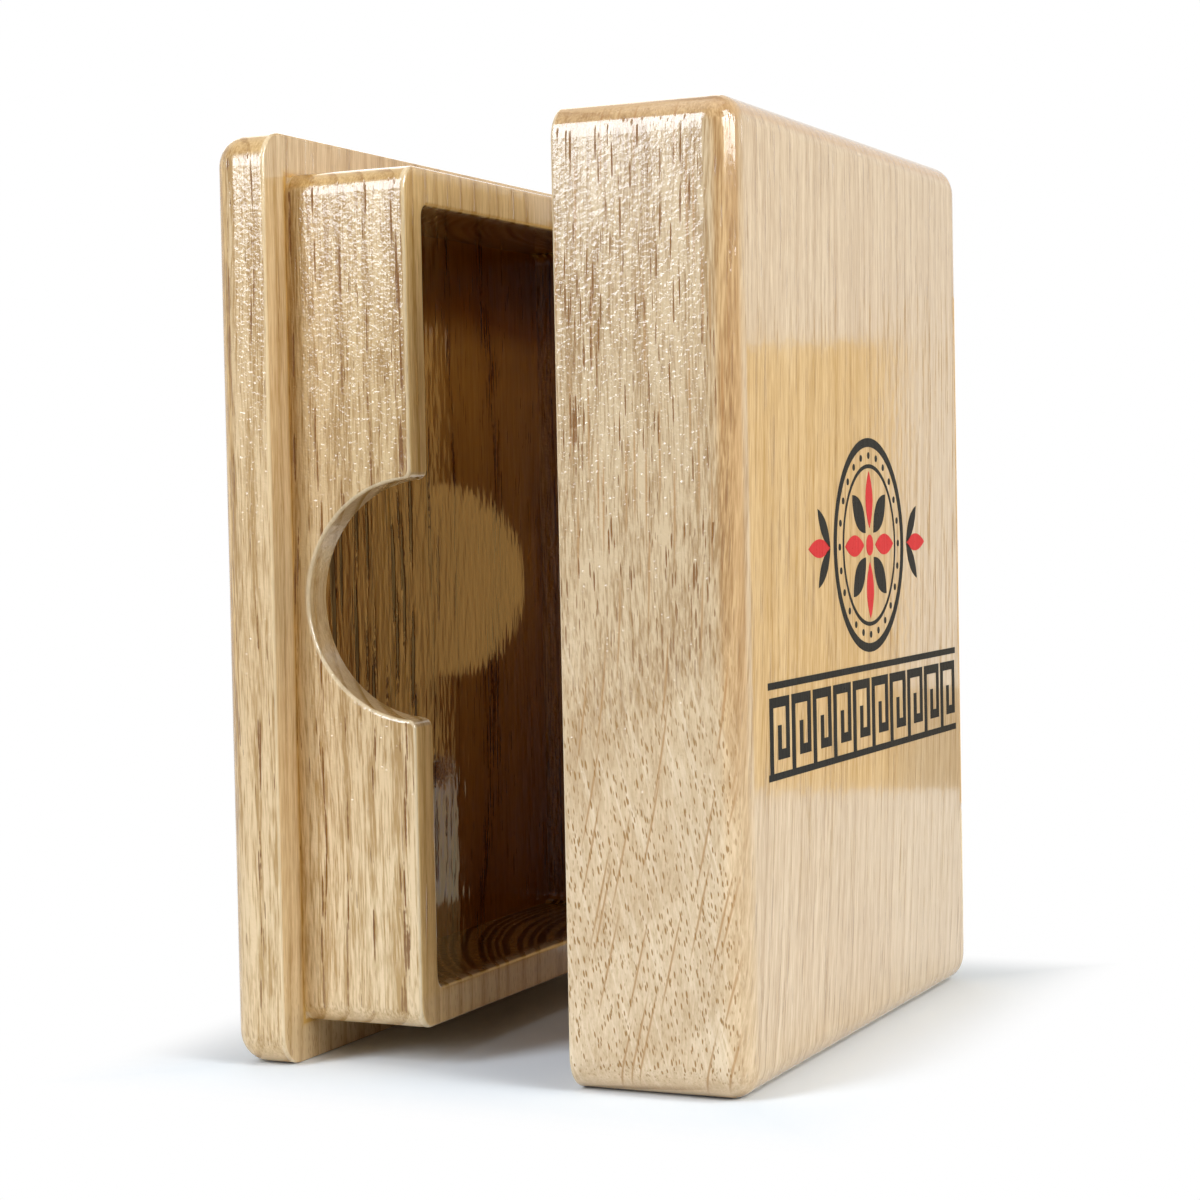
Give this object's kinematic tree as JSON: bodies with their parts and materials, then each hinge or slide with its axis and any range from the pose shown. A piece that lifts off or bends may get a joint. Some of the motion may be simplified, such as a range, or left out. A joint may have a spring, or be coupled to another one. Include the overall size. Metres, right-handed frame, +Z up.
{
  "type": "playing card case",
  "caption": "Milled oak case for one deck of playing cards: a base plate with a raised tray and thumb notches, and a deep slip cover that slides straight off.",
  "frame": {"origin": "bottom centre of the open pair's bounding box, on the surface it stands on", "axes": "+Z up along the case's long side and the grain, +X the way the cover slides off the tray, +Y across the width, away from the viewer of the near long side"},
  "size_m": [0.066, 0.083, 0.11],
  "materials": {
    "oak_tray": "clear gloss lacquer over open-pored oak",
    "oak_cover": "clear gloss lacquer over open-pored oak"
  },
  "bodies": {
    "tray": {"base_tray": "oak_tray"},
    "cover": {"slip_cover": "oak_cover"}
  },
  "joints": [
    {"name": "cover_slide", "type": "slide", "parent": "tray", "child": "cover", "axis": [1, 0, 0], "range_m": [-0.037, 0.03]}
  ]
}
